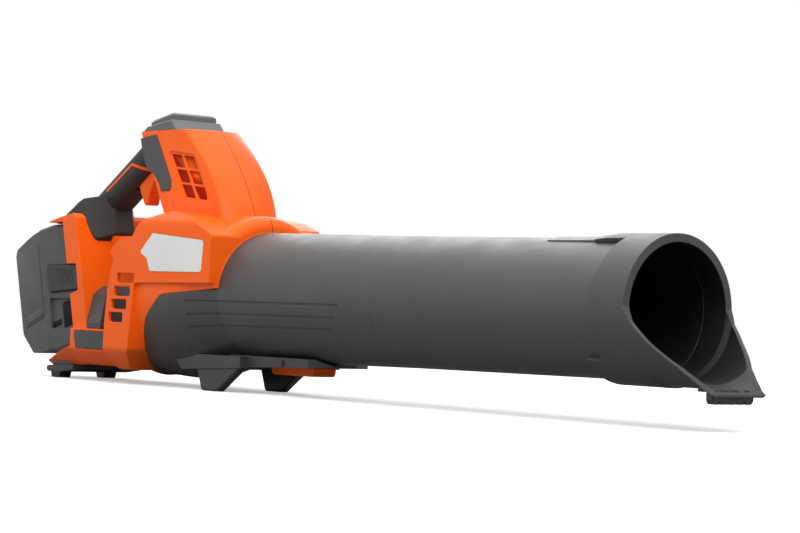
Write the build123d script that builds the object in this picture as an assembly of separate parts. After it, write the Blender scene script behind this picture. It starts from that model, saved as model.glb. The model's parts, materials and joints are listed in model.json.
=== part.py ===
from build123d import *
import os
from math import cos, radians, sin, tan

# Leaf blower, in millimetres. X runs along the air path towards the nozzle and Z is up.
# While modelling, X = 0 is the seam between housing and tube and Z = 0 is the air axis.
# The finished pieces are moved so that the origin is under the middle of the whole blower.

# Overall sizes
axis_height = 79.0          # air axis above the floor
tube_rear_radius = 53.0     # outside, at the housing seam
tube_joint_radius = 50.3    # outside, where the two tubes meet
tube_front_radius = 48.5    # outside, at the front end of the tube
tube_joint_x = 194.5
tube_end_x = 446.0
tube_wall = 2.0
shell_wall = 2.6            # moulded housing wall

# Clearances
seam_gap = 0.3              # between the housing and the tube that pulls off
seat_gap = 0.2              # between fixed pieces
slide_gap = 0.4             # between pieces that slide past each other
shaft_gap = 0.04            # shaft in its bearings
bond_gap = 0.02             # pieces fixed on the shaft

# Grooves along tube and shroud
groove_angles = (-6.0, -17.0, -28.0)
groove_ends = (157.0, 150.0, 144.0)
groove_start_x = -40.0
groove_width = 2.4
groove_depth = 0.8

# Nozzle
nozzle_rear_x = tube_end_x - 11.0
nozzle_top_tab = 31.0         # length of the rear tab on top
nozzle_low_tab = 16.0         # length of the rear tab below
nozzle_tab_top_angle = 23.0   # half angle of the rear tab on top, from straight up
nozzle_tab_low_angle = 47.0   # half angle of the rear tab below, from straight down
nozzle_mouth_x = tube_end_x + 21.0
nozzle_radius = 52.3
nozzle_bore_radius = 46.4
nozzle_lip_x = tube_end_x + 79.0
nozzle_lip_radius = 60.0
nozzle_wall = 3.2
nozzle_flat = -55.5           # underside of the lip from the air axis
nozzle_lip_rise = 1.6         # the lip's front edge above its underside
key_height = 0.8
key_half_angle = 21.0
key_start_x = tube_end_x - 92.0
skid_length = 5.0
skid_half_width = 20.0
skid_height = 5.0
skid_scallops = 5

# Fan and motor
spigot_length = 40.0
duct_wall = 1.8
duct_rear_x = -118.0
bell_radius = 56.0
fan_tip_gap = 0.8
fan_front_x = -50.0
fan_length = 30.0
fan_hub_radius = 21.0
fan_blades = 11
fan_blade_pitch = 48.0
fan_blade_thickness = 1.9
pod_radius = 24.0
pod_rear_x = -45.0
pod_front_x = 20.0
pod_wall = 2.2
vane_count = 9
vane_pitch = 14.0
vane_thickness = 1.8
tail_length = 42.0
shaft_radius = 2.5
bearing_radius = 7.0
bearing_width = 5.0
rotor_radius = 11.6
rotor_air_gap = 0.5
rotor_length = 30.0
stator_rear_x = -37.0

# Fan housing
block_half_width = 61.5
block_front_x = -0.5
dome_radius = 67.0
shroud_wall = 2.5
shroud_rear_x = -99.0
fan_top_rear_x = -139.0     # rear end of the fan body's upper half, clear of the hand

# Tower, cap and keypad
tower_half_width = 29.0
tower_top = 140.0
cap_half_width = 26.0
cap_rear_x = -163.0
cap_front_x = -110.0
button_travel = 1.0
button_gap = 0.35

# Handle
handle_angle = 31.5
handle_x = -206.0
handle_z = 103.5
grip_width = 30.0
grip_height = 28.0
grip_skin = 2.5
handle_wall = 2.5
neck_right_width = 37.0     # from the middle plane, where the bay's wall carries the neck's wide flank
neck_left_width = 21.0
neck_front = 34.0           # front face of the neck in the battery's tilted frame
neck_front_half_width = 9.0
trigger_half_width = 6.2
trigger_side_gap = 0.6
trigger_pivot_x = -171.0
trigger_pivot_z = 120.0
trigger_pin_radius = 1.95

# Battery and its bay
pack_tilt = 15.0
pack_x = -248.0
pack_z = 11.0
pack_half_width = 42.0
pack_rear_half_width = 34.0
pack_top = 57.0
pack_bottom = -60.0
pack_rear = -101.0
pack_split = -45.0
pack_wall = 2.5
bay_half_width = 46.0
bay_edge = 4.0              # rear edge of the bay's frame, in the battery's tilted frame
bay_front = 26.0            # front face of the bay's wall, in the battery's tilted frame
bay_wall = 3.4
cell_radius = 9.2
cell_length = 65.0
cell_pitch = 19.2
latch_travel = 3.0

# Feet and the bridge between bay and fan block
bridge_half_width = 50.0
bridge_rear_x = -230.0
bridge_front_x = -150.0
foot_inner_y = 28.0
foot_outer_y = 37.0
rear_foot_y = 24.0

duct_axis = Axis((0, 0, 0), (1, 0, 0))
floor = -axis_height
far = 400.0


# Shapes that many pieces use
def plate(corners):
    """Flat outline from (across, up, corner radius) triples."""
    face = make_face(Polyline(*[(across, up) for across, up, radius in corners], close=True))
    for wanted in sorted({corner[2] for corner in corners if corner[2] > 0}):
        spots = [corner[:2] for corner in corners if corner[2] == wanted]
        picked = [
            vertex
            for vertex in face.vertices()
            if any(abs(vertex.X - across) + abs(vertex.Y - up) < 0.01 for across, up in spots)
        ]
        face = fillet(picked, wanted)
    return face


def side_prism(corners, half_width):
    return extrude(Plane.XZ * plate(corners), amount=half_width, both=True)


def cross_prism(corners, rear_x, front_x):
    return extrude(Plane.YZ.offset(rear_x) * plate(corners), amount=front_x - rear_x)


def both_edges(right_edge):
    """Outline seen along the air axis, from its right edge and the mirrored left one."""
    return right_edge + [(-across, up, radius) for across, up, radius in reversed(right_edge)]


def turned(points):
    """Outline of (x, radius) points turned about the air axis."""
    face = Plane.XZ * make_face(Polyline(*points, close=True))
    return revolve(face, axis=duct_axis)


def rod(radius, rear_x, front_x):
    return Pos((rear_x + front_x) / 2, 0, 0) * Rot(0, 90, 0) * Cylinder(radius, front_x - rear_x)


def block_between(low, high):
    size = [high[i] - low[i] for i in range(3)]
    middle = [(high[i] + low[i]) / 2 for i in range(3)]
    return Pos(*middle) * Box(*size)


def half(solid, side):
    """The part of a solid on one side of the middle plane: -1 right, 1 left."""
    low, high = sorted((0, side * far))
    return solid & block_between((-far * 2, low, -far), (far * 2, high, far))


def mirrored(solid):
    return mirror(solid, about=Plane.XZ)


def pack_point(along, up):
    """Point of the battery's tilted frame in X and Z."""
    turn = radians(pack_tilt)
    return (
        pack_x + along * cos(turn) - up * sin(turn),
        pack_z + along * sin(turn) + up * cos(turn),
    )


def handle_point(along, up):
    turn = radians(handle_angle)
    return (
        handle_x + along * cos(turn) - up * sin(turn),
        handle_z + along * sin(turn) + up * cos(turn),
    )


pack_place = Pos(pack_x, 0, pack_z) * Rot(0, -pack_tilt, 0)
handle_place = Pos(handle_x, 0, handle_z) * Rot(0, -handle_angle, 0)


# Blowing tube
def tube_radius(x):
    if x < tube_joint_x:
        return tube_rear_radius + (tube_joint_radius - tube_rear_radius) * x / tube_joint_x
    share = (x - tube_joint_x) / (tube_end_x - tube_joint_x)
    return tube_joint_radius + (tube_front_radius - tube_joint_radius) * share


def groove_blades():
    """Thin radial plates, three on each side, that mark the grooves."""
    blades = []
    for angle, end_x in zip(groove_angles, groove_ends):
        length = end_x - groove_start_x
        blade = Pos(groove_start_x + length / 2, -far / 4, 0) * Box(length, far / 4, groove_width)
        blade = Rot(-angle, 0, 0) * blade
        blades += [blade, mirrored(blade)]
    return Compound(blades)


def groove_cutter(core):
    """The grooves outside a core that stands at their floor."""
    pieces = []
    for blade in groove_blades().solids():
        pieces += (blade - core).solids()
    return pieces


def make_rear_tube():
    joint_inner = tube_joint_radius - tube_wall
    tube = turned([
        (seam_gap, tube_radius(seam_gap) - tube_wall),
        (seam_gap, tube_radius(seam_gap)),
        (tube_joint_x, tube_joint_radius),
        (tube_joint_x, joint_inner),
    ])
    core = turned([
        (-60, 0),
        (-60, tube_radius(-60) - groove_depth),
        (tube_joint_x, tube_joint_radius - groove_depth),
        (tube_joint_x, 0),
    ])
    for cutter in groove_cutter(core):
        tube -= cutter
    return tube


def make_front_tube():
    neck_length = 25.0
    neck = tube_joint_radius - tube_wall - seat_gap
    start_x = tube_joint_x + seat_gap
    body = turned([
        (start_x - neck_length, neck - tube_wall),
        (start_x - neck_length, neck),
        (start_x, neck),
        (start_x, tube_joint_radius),
        (tube_end_x, tube_front_radius),
        (tube_end_x, tube_front_radius - tube_wall),
        (start_x + neck_length, tube_radius(start_x + neck_length) - tube_wall),
        (start_x + 4, neck - tube_wall),
    ])
    key_top = tube_radius(key_start_x) + key_height
    key_length = tube_end_x - key_start_x
    key = rod(key_top, key_start_x, tube_end_x) - rod(tube_front_radius - 0.5, key_start_x, tube_end_x)
    key &= sector(key_half_angle, key_start_x, key_start_x + key_length, 1)
    return body + key


def sector(half_angle, rear_x, front_x, up):
    """Wedge about the air axis, opening up (1) or down (-1)."""
    reach = far
    spread = reach * tan(radians(half_angle))
    corners = [(0, 0, 0), (spread, up * reach, 0), (-spread, up * reach, 0)]
    return cross_prism(corners, rear_x, front_x)


# Nozzle that pushes on the tube
def make_nozzle():
    socket = tube_front_radius + 0.6
    rear_x = nozzle_rear_x - nozzle_top_tab
    sleeve = turned([
        (rear_x, socket),
        (rear_x, socket + 2.1),
        (rear_x + 13, nozzle_radius),
        (nozzle_mouth_x, nozzle_radius),
        (nozzle_mouth_x, nozzle_bore_radius),
        (tube_end_x + slide_gap, nozzle_bore_radius),
        (tube_end_x + slide_gap, socket),
    ])
    side_cut = turned([(rear_x - 1, 0), (rear_x - 1, far), (nozzle_rear_x, far), (nozzle_rear_x, 0)])
    tabs = sector(nozzle_tab_top_angle, rear_x - 1, nozzle_rear_x, 1)
    tabs += sector(nozzle_tab_low_angle, nozzle_rear_x - nozzle_low_tab, nozzle_rear_x, -1)
    sleeve -= side_cut - tabs
    keyway = rod(tube_radius(key_start_x) + key_height + slide_gap, rear_x - 1, tube_end_x + slide_gap)
    sleeve -= keyway & sector(key_half_angle + 1, rear_x - 1, tube_end_x + slide_gap, 1)

    inner = [(x, radius - nozzle_wall) for x, radius in scoop_outline()[1:]]
    scoop = turned(scoop_outline() + inner[::-1] + [(nozzle_mouth_x, nozzle_bore_radius)])
    floor_top = nozzle_flat + nozzle_wall
    scoop += scoop_core() & block_between((nozzle_mouth_x, -far, -far), (nozzle_lip_x, far, floor_top))
    scoop &= block_between((nozzle_mouth_x, -far, nozzle_flat), (nozzle_lip_x, far, far))
    scoop -= side_prism(
        [
            (nozzle_mouth_x, 2, 0),
            (nozzle_mouth_x + 5, -8, 0),
            (nozzle_mouth_x + 17, -20.8, 0),
            (nozzle_mouth_x + 35, -36.4, 0),
            (nozzle_mouth_x + 53, -51, 0),
            (nozzle_lip_x, nozzle_flat + nozzle_lip_rise, 0),
            (nozzle_lip_x, far, 0),
            (nozzle_mouth_x, far, 0),
        ],
        far,
    )
    nozzle = sleeve + scoop
    for y in (-15, -5, 5, 15):
        nozzle += block_between(
            (nozzle_lip_x - 22, y - 0.9, floor_top - 0.4),
            (nozzle_lip_x - 5, y + 0.9, floor_top + 1.5),
        )
    return nozzle


def scoop_outline():
    """Outside of the scoop: straight on from the mouth, then flared towards the lip."""
    return [
        (nozzle_mouth_x, nozzle_radius),
        (nozzle_mouth_x + 5, nozzle_radius - 1.1),
        (nozzle_mouth_x + 36, nozzle_radius - 0.9),
        (nozzle_lip_x - 14, nozzle_lip_radius - 6.2),
        (nozzle_lip_x - 7, nozzle_lip_radius - 3),
        (nozzle_lip_x, nozzle_lip_radius),
    ]


def scoop_core():
    return turned([(nozzle_mouth_x, 0), *scoop_outline(), (nozzle_lip_x, 0)])


def make_skid():
    """Scalloped wear edge under the nozzle's lip."""
    front_x = nozzle_lip_x - 5.5
    low = nozzle_flat - skid_height
    pad = block_between(
        (front_x - skid_length, -skid_half_width, low),
        (front_x, skid_half_width, nozzle_flat + 4),
    )
    pad = fillet(pad.edges().filter_by(Axis.X).group_by(Axis.Z)[0], 3.5)
    step = 2 * skid_half_width / skid_scallops
    for n in range(1, skid_scallops):
        y = -skid_half_width + n * step
        pad -= Pos(front_x - skid_length / 2, y, low) * Rot(0, 90, 0) * Cylinder(1.6, far)
    above = scoop_core() & block_between((nozzle_mouth_x, -far, nozzle_flat), (nozzle_lip_x, far, far))
    return pad - above


# Fan duct, motor and fan
duct_outer = tube_rear_radius - tube_wall - 1.0
duct_inner = duct_outer - duct_wall
duct_body_outer = duct_outer + 1.5
duct_bore = duct_body_outer + 0.3
seal_x = spigot_length - 10
seal_width = 3.0
seal_depth = 1.0


def make_fan_duct():
    duct = turned([
        (duct_rear_x, duct_inner),
        (duct_rear_x - 3, bell_radius - 3),
        (duct_rear_x - 3, bell_radius),
        (duct_rear_x - seat_gap, bell_radius),
        (duct_rear_x - seat_gap, duct_body_outer),
        (0, duct_body_outer),
        (0, duct_outer),
        (spigot_length, duct_outer - 0.2),
        (spigot_length, duct_inner),
    ])
    groove_rear_x = seal_x - seal_width / 2 - 0.1
    groove_front_x = seal_x + seal_width / 2 + 0.1
    groove = rod(far / 4, groove_rear_x, groove_front_x)
    groove -= rod(duct_outer - seal_depth - 0.1, groove_rear_x, groove_front_x)
    for y in motor_lead_spots:
        duct -= Pos(motor_lead_x, y, duct_outer) * Cylinder(motor_lead_radius + 0.3, 20)
    return duct - groove


def make_tube_seal():
    rear_x = seal_x - seal_width / 2
    front_x = seal_x + seal_width / 2
    return rod(duct_outer + 0.15, rear_x, front_x) - rod(duct_outer - seal_depth, rear_x, front_x)


def radial_plates(count, pitch, thickness, rear_x, front_x, inner, outer, offset_angle=0.0):
    """Pitched flat blades around the air axis, trimmed to a ring."""
    length = front_x - rear_x
    ring = rod(outer, rear_x, front_x) - rod(inner, rear_x, front_x)
    blank = Box(length * 2, thickness, outer - inner + 6)
    blades = []
    for n in range(count):
        turn = offset_angle + 360.0 * n / count
        spot = Pos((rear_x + front_x) / 2, 0, (inner + outer) / 2)
        blade = Rot(turn, 0, 0) * spot * Rot(0, 0, pitch) * blank
        blades.append(blade & ring)
    return blades


motor_lead_x = -34.0
motor_lead_radius = 1.3
motor_lead_spots = (-3.4, 0.0, 3.4)
vane_offset = 10.0          # keeps the way of the leads clear between two vanes


def make_stator_vanes():
    """Straightening vanes with the motor pod in their middle."""
    pod = turned([
        (pod_rear_x, bearing_radius + seat_gap),
        (pod_rear_x, pod_radius - 2),
        (pod_rear_x + 2, pod_radius),
        (pod_front_x, pod_radius),
        (pod_front_x, pod_radius - pod_wall),
        (pod_rear_x + pod_wall + bearing_width, pod_radius - pod_wall),
        (pod_rear_x + pod_wall + bearing_width, bearing_radius + seat_gap),
    ])
    lip = pod_rear_x + pod_wall
    pod += rod(bearing_radius + 1, pod_rear_x, lip) - rod(shaft_radius + 1, pod_rear_x, lip)
    vanes = radial_plates(
        vane_count,
        vane_pitch,
        vane_thickness,
        pod_rear_x + 6,
        pod_front_x - 4,
        pod_radius - 0.8,
        duct_inner - seat_gap,
        vane_offset,
    )
    for vane in vanes:
        pod += vane
    for y in motor_lead_spots:
        pod -= Pos(motor_lead_x, y, pod_radius) * Cylinder(motor_lead_radius + 0.3, 20)
    return pod


def make_tail_cone():
    inside = pod_radius - pod_wall - seat_gap
    plug_length = 6.0
    seat = pod_front_x - plug_length
    base_x = pod_front_x + seat_gap
    profile = make_face(
        Polyline((base_x, 0), (base_x, pod_radius))
        + EllipticalCenterArc((base_x, 0), tail_length, pod_radius, start_angle=0, arc_size=90)
        + Polyline((base_x + tail_length, 0), (base_x, 0))
    )
    cone = revolve(Plane.XZ * profile, axis=duct_axis)
    cone += rod(inside, seat, base_x)
    cone -= rod(bearing_radius + seat_gap, seat - 1, seat + bearing_width)
    cone -= rod(shaft_radius + 1.5, seat - 1, seat + bearing_width + 8)
    return cone


def make_bearing(rear_x):
    ring = rod(bearing_radius, rear_x, rear_x + bearing_width)
    return ring - rod(shaft_radius + shaft_gap, rear_x - 1, rear_x + bearing_width + 1)


rear_bearing_x = pod_rear_x + pod_wall
front_bearing_x = pod_front_x - 6.0


def make_motor_stator():
    outer = pod_radius - pod_wall - seat_gap
    bore = rotor_radius + rotor_air_gap
    front_x = stator_rear_x + rotor_length
    stator = rod(outer, stator_rear_x, front_x) - rod(bore, stator_rear_x - 1, front_x + 1)
    for n in range(6):
        slot = Pos(stator_rear_x + rotor_length / 2, 0, bore + 3.0) * Box(rotor_length + 2, 5.0, 4.4)
        stator -= Rot(60.0 * n, 0, 0) * slot
    return stator


def make_motor_leads():
    top = tower_floor + 2
    low = pod_radius - pod_wall - seat_gap + 0.1
    leads = []
    for y in motor_lead_spots:
        leads.append(Pos(motor_lead_x, y, (top + low) / 2) * Cylinder(motor_lead_radius, top - low))
    return leads


def make_impeller():
    rear_x = fan_front_x - fan_length
    hub = turned([
        (rear_x, shaft_radius + bond_gap),
        (rear_x, fan_hub_radius - 6),
        (rear_x + 5, fan_hub_radius - 1.2),
        (rear_x + 12, fan_hub_radius),
        (fan_front_x, fan_hub_radius),
        (fan_front_x, fan_hub_radius - 2),
        (rear_x + 6, fan_hub_radius - 6),
        (rear_x + 6, 6.5),
        (fan_front_x - 2, 6.5),
        (fan_front_x - 2, shaft_radius + bond_gap),
    ])
    blades = radial_plates(
        fan_blades,
        fan_blade_pitch,
        fan_blade_thickness,
        rear_x + 4,
        fan_front_x,
        fan_hub_radius - 1,
        duct_inner - fan_tip_gap,
    )
    for blade in blades:
        hub += blade
    return hub


def make_fan_nut():
    rear_x = fan_front_x - fan_length
    hexagon = Plane.YZ.offset(rear_x - 5) * RegularPolygon(radius=5.2, side_count=6)
    nut = extrude(hexagon, amount=5 - bond_gap)
    return nut - rod(shaft_radius + bond_gap, rear_x - 6, rear_x)


def make_motor_shaft():
    rear_x = fan_front_x - fan_length - 8
    shaft = rod(shaft_radius, rear_x, front_bearing_x + bearing_width + 3)
    return chamfer(shaft.edges(), 0.5)


def make_rotor_core():
    front_x = stator_rear_x + rotor_length
    core = rod(rotor_radius, stator_rear_x, front_x)
    return core - rod(shaft_radius + bond_gap, stator_rear_x - 1, front_x + 1)


# Fan housing shapes
def fan_body(inset, rear_x=-144.0):
    """Bulging body about the air axis, from the tube's size at the seam to the wide fan casing."""
    stations = [  # x, growth to the side, growth up and down
        (0.0, 0.0, 0.0),
        (-22.0, 2.5, 4.0),
        (-50.0, 5.5, 12.0),
        (-78.0, 6.5, 17.0),
        (rear_x, 6.5, 17.5),
    ]
    sections = []
    for x, wide, tall in stations:
        spot = Plane(origin=(x, 0, 0), x_dir=(0, 1, 0), z_dir=(1, 0, 0))
        sections.append(spot * Ellipse(tube_rear_radius + wide - inset, tube_rear_radius + tall - inset))
    return loft(sections)


def shroud_zone(grow):
    """Region under the shroud's edge line, seen from the side."""
    front_x = 1.0
    return side_prism(
        [
            (front_x, 5.3 + grow, 0),
            (-74 - grow, -0.9 + grow, 16),
            (shroud_rear_x - grow, -20, 14),
            (shroud_rear_x - 21 - grow, -50, 10),
            (shroud_rear_x - 58 - grow, floor - 5, 0),
            (front_x, floor - 5, 0),
        ],
        far / 2,
    )


def make_lower_shroud():
    shell = fan_body(0) - fan_body(shroud_wall)
    shell &= shroud_zone(0)
    shell -= rod(duct_bore, -150, 10)
    for cutter in groove_cutter(fan_body(groove_depth)):
        shell -= cutter
    return shell


tower_stations = (
    # height, rear, side corner, front bulge
    (56.0, -115.0, -33.0, -22.0),
    (81.0, -130.0, -39.0, -32.5),
    (101.0, -141.5, -51.0, -45.5),
    (121.0, -153.0, -71.0, -62.0),
    (tower_top, -163.5, -95.0, -82.0),
)
tower_floor = 70.0


def tower_body(inset):
    sections = []
    for height, rear, corner, front in tower_stations:
        wide = tower_half_width - inset
        rear_x = rear + inset
        corner_x = corner - inset
        outline = make_face(
            Polyline((corner_x, -wide), (rear_x, -wide), (rear_x, wide), (corner_x, wide))
            + ThreePointArc((corner_x, wide), (front - inset, 0), (corner_x, -wide))
        )
        outline = fillet(outline.vertices(), 5.0)
        level = min(height, tower_top - inset)
        sections.append(Plane.XY.offset(level) * outline)
    return loft(sections)


def block_section(wide):
    """Outline of the block seen along the air axis."""
    return [
        (-wide, -50, 8),
        (-wide + 17, -67, 8),
        (wide - 17, -67, 8),
        (wide, -50, 8),
        (wide, 60, 7),
        (wide - 20, 76, 0),
        (20 - wide, 76, 0),
        (-wide, 60, 7),
    ]


def block_body(inset):
    """Faceted block round the fan that carries the label plates."""
    grow = -inset
    corners = [
        (block_front_x + grow, 9.5 - grow, 0),
        (block_front_x + grow, 49 + grow, 4),
        (-36, 64 + grow, 20),
        (-73, 69.5 + grow, 14),
        (-101.5, 62.5 + grow, 8),
        (-111, 55 + grow, 4),
        (-118, 47 + grow, 4),
        (-136, 46 + grow, 5),
        (-151.5 - grow, 34.7, 2.5),
        (-146 - grow, 27, 2),
        (-153.5 - grow, 2.5, 4),
        (-156.5 - grow, -28, 4),
        (-158 - grow, -66.5 - grow, 6),
        (-121 + grow, -66.5 - grow, 6),
        (-112 + grow, 8 - grow, 4),
    ]
    wide = block_half_width + grow
    return side_prism(corners, wide) & cross_prism(block_section(wide), -200, 10)


def dome_body():
    drum = rod(dome_radius, -90, block_front_x)
    drum = fillet(drum.edges().sort_by(Axis.X)[-1], 12.0)
    return drum & block_between((-100, 6 - block_half_width, 0), (0, block_half_width - 6, far))


def bay_face_x(height):
    """Where the front face of the bay's wall lies at a height."""
    turn = radians(pack_tilt)
    up = (height - pack_z - bay_front * sin(turn)) / cos(turn)
    return pack_point(bay_front, up)[0]


def bay_corners():
    bottom = -64.5
    tongue_up = pack_bottom - 0.8
    return [
        (*pack_point(-18, pack_top + 0.2), 0),
        (*pack_point(bay_edge + 2, pack_top - 1.5), 3),
        (*pack_point(bay_front - 3, pack_top - 3), 3),
        (*pack_point(bay_front, pack_top - 8), 3),
        (bay_face_x(bottom), bottom, 0),
        (-290, -67.5, 2),
        (*pack_point(-63, tongue_up), 1),
        (*pack_point(bay_edge, tongue_up), 2),
        (*pack_point(bay_edge, pack_top - 6), 0),
        (*pack_point(-18, pack_top - 1), 0),
    ]


def bridge_body(inset):
    wide = bridge_half_width - inset
    section = [
        (-wide, -52, 6),
        (-wide + 13, -65 + inset, 6),
        (wide - 13, -65 + inset, 6),
        (wide, -52, 6),
        (wide, -33 - inset, 1.2),
        (-wide, -33 - inset, 1.2),
    ]
    return cross_prism(section, bridge_rear_x + inset, bridge_front_x - 6 * inset)


def spine_body(inset):
    return block_between(
        (-240 + inset, -12 + inset, 37 + inset),
        (-112 - inset, 12 - inset, 50 - inset),
    )


def neck_plan(inset):
    """Outline of the neck seen along the battery's tilted upright."""
    right = neck_right_width - inset
    left = neck_left_width - inset
    front_wide = neck_front_half_width - 0.4 * inset
    plan = make_face(
        Polyline(
            (-60, -right),
            (neck_front - 12, -right),
            (neck_front - 8 - inset / 2, 2 - right),
            (neck_front - inset, -front_wide),
            (neck_front - inset, front_wide),
            (neck_front - 16, left),
            (-60, left),
            close=True,
        )
    )
    return pack_place * extrude(plan, amount=far / 2, both=True)


def neck_body(inset):
    ease = max(1.0, 5.0 - inset)
    profile = side_prism(
        [
            (-270 + inset, 66 + 0.4 * inset, 0),
            (-243, 80.5 - inset, ease),
            (-237, 85 - inset, 0),
            (*pack_point(neck_front - inset, 68 - inset), 0),
            (*pack_point(neck_front - inset, 34), ease),
            (-231, 44 + inset, 0.7 * ease),
            (-243, 48 + inset, 0.7 * ease),
            (-257, 64 + inset, ease),
        ],
        neck_right_width,
    )
    right = neck_right_width - inset
    right_edge = [
        (-right, 95, 0),
        (-right, 66 + 0.4 * inset, 3),
        (7 - right, 49 + 0.7 * inset, 4),
        (13 - right, 44 + inset, 0),
    ]
    return profile & neck_plan(inset) & cross_prism(both_edges(right_edge), -300, -190)


def handle_bar(inset, rear, front):
    wide = grip_width - 2 * inset
    tall = grip_height - 2 * inset
    section = RectangleRounded(tall, wide, min(wide, tall) * 0.44)
    bar = extrude(Plane.YZ.offset(rear) * Rot(0, 0, 90) * section, amount=front - rear)
    bar = handle_place * bar
    return bar & block_between((-far, -far, -far), (far, far, tower_top - 1.5 - inset / 2))


handle_rear = -70.0
handle_front = 66.0


def handle_core(inset):
    return handle_bar(inset, handle_rear + inset, handle_front) + neck_body(inset)


def trigger_slot():
    wide = trigger_half_width + trigger_side_gap
    floor_up = grip_skin + handle_wall - grip_height / 2
    return handle_place * block_between((-1, -wide, floor_up - 14), (46, wide, floor_up + 4))


pack_front = bay_front - bay_wall - 1.0


def pack_outline(grow):
    front = pack_front + grow
    return [
        (front, pack_top - 11.5 + grow, 4),
        (0, pack_top - 6.5 + grow, 0),
        (-22, pack_top - 1.5 + grow, 0),
        (-44, pack_top + grow, 8),
        (pack_rear + 4 - grow, pack_top - 5.5 + grow, 4),
        (pack_rear - grow, 46, 4),
        (pack_rear - grow, -28, 8),
        (-82, -50 - grow, 8),
        (-32, pack_bottom - grow, 8),
        (front - 6, pack_bottom - grow, 6),
        (front, -52, 4),
    ]


def pack_prism(corners, half_width):
    frame = Plane(
        origin=(pack_x, 0, pack_z),
        x_dir=(cos(radians(pack_tilt)), 0, sin(radians(pack_tilt))),
        z_dir=(0, -1, 0),
    )
    return extrude(frame * plate(corners), amount=half_width, both=True)


def bay_cavity():
    return pack_prism(pack_outline(0.6), pack_half_width + 0.6)


def latch_corners(grow):
    """Outline of a latch, level in spite of the battery's tilt."""
    return [
        (-286.5 - grow, 22 + grow, 1.5),
        (-233 + grow, 23 + grow, 1.5),
        (-227.6 + grow, 1.5 - grow, 1.5),
        (-278.5 - grow, -2.5 - grow, 1.5),
    ]


def latch_notch():
    """Way of the latches out of the bay's sides as the battery slides out."""
    slope = tan(radians(pack_tilt))
    top, low = latch_corners(1.0)[1:3]
    reach = 80.0
    corners = [
        (top[0], top[1], 2),
        (low[0], low[1], 2),
        (low[0] - reach, low[1] - reach * slope - 2, 0),
        (low[0] - reach, top[1], 0),
    ]
    return side_pair(corners, pack_half_width - 2, bay_half_width + 2)


def vent_slots():
    """Four slots in each side wall of the block, lower ones further back and shorter."""
    cuts = []
    for n in range(4):
        for side in (-1, 1):
            spot = Pos(-125.8 - 4.4 * n, side * (block_half_width - 2), 12 - 11.2 * n)
            slot = spot * Box(26.5 - 1.4 * n, 12, 8.4)
            cuts.append(fillet(slot.edges().filter_by(Axis.Y), 1.6))
    return cuts


def grille_windows():
    """Two columns and three rows in the slanted field on the tower's side."""
    lean, fall = 0.66, 0.1
    width, height = 15.7, 10.9
    column_pitch, row_pitch = 18.9, 13.1
    shift, drop = lean * height / 2, fall * width
    cuts = []
    for row in range(3):
        for column in range(2):
            left = -109.7 + column_pitch * column + lean * row_pitch * row
            middle_z = 114.0 - row_pitch * row - fall * column_pitch * column
            low, high = middle_z - height / 2, middle_z + height / 2
            corners = [
                (left + shift, low, 1),
                (left + shift + width, low - drop, 1),
                (left - shift + width, high - drop, 1),
                (left - shift, high, 1),
            ]
            cuts.append(side_prism(corners, tower_half_width + 4))
    return cuts


def grille_recess(depth):
    corners = [(-117, 122.5, 3), (-76.5, 117.5, 3), (-50, 76, 6), (-90.5, 78.5, 6)]
    field = side_prism(corners, tower_half_width + 2)
    return field - block_between((-far, depth - tower_half_width, -far), (far, tower_half_width - depth, far))


# Screws that join the two housing halves, driven from the left: x, height, head seat
housing_screw_spots = (
    (-70.0, 80.0, 25.0),
    (-86.0, 127.0, 25.0),
    (-190.0, -44.5, 46.0),
    (-149.0, -60.5, 26.0),
    (-16.0, 58.5, 18.0),
    (-185.0, 43.5, 8.5),
)
screw_radius = 1.75
screw_head_radius = 3.4
screw_head_height = 2.4
screw_tip_y = -10.0
boss_radius = 4.6
boss_root = 2.4             # how far a boss reaches into the wall beyond the head seat


def cross_rod(radius, x, z, low_y, high_y):
    return Pos(x, (low_y + high_y) / 2, z) * Rot(90, 0, 0) * Cylinder(radius, high_y - low_y)


spring_radius = 3.4
spring_low = trigger_half_width + 0.5
spring_high = spring_low + 2.6
pin_half_length = grip_width / 2 - grip_skin - handle_wall + 1.2


def pivot_rod(radius, low_y, high_y):
    return cross_rod(radius, trigger_pivot_x, trigger_pivot_z, low_y, high_y)


def largest(shape):
    return shape.solids().sort_by(SortBy.VOLUME)[-1]


def make_housing_screws():
    screws = []
    for x, z, seat in housing_screw_spots:
        shank = cross_rod(screw_radius, x, z, screw_tip_y, seat)
        head = cross_rod(screw_head_radius, x, z, seat, seat + screw_head_height)
        recess = cross_rod(1.4, x, z, seat + 1.0, seat + screw_head_height + 1)
        screws.append(shank + head - recess)
    return screws


def label_corners(grow):
    return [
        (-85.5 - grow, 50 + grow, 3),
        (-104.5 - grow, 34, 2),
        (-93.5, 29, 2),
        (-88.5 - grow, 18 - grow, 3),
        (-12.5 + grow, 18 - grow, 3),
        (-10.5 + grow, 44 + grow, 3),
    ]


def tower_pad_corners(grow):
    return [
        (-160 - grow, 134 + grow, 1),
        (-136 + grow, 136.5 + grow, 3),
        (-110.5 + grow, 97, 5),
        (-111 + grow, 88 - grow, 3),
        (-125.5 - grow, 88 - grow, 2),
        (-128.5 - grow, 95, 3),
        (-137.5 - grow, 103, 3),
        (-148.5 - grow, 108, 2),
        (-156 - grow, 122, 2),
    ]


def side_pad_corners(grow):
    return [
        (-224 - grow, -35 + grow, 2),
        (-160.5 + grow, -35 + grow, 2),
        (-161.5 + grow, -50.5 - grow, 2),
        (-220 - grow, -50.5 - grow, 2),
    ]


def side_skin(corners, inner_y, outer_y):
    """A plate on the right side, between two distances from the middle plane."""
    skin = side_prism(corners, outer_y)
    return skin & block_between((-far, -outer_y, -far), (far, -inner_y, far))


def side_pair(corners, inner_y, outer_y):
    right = side_skin(corners, inner_y, outer_y)
    return right + mirrored(right)


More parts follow.
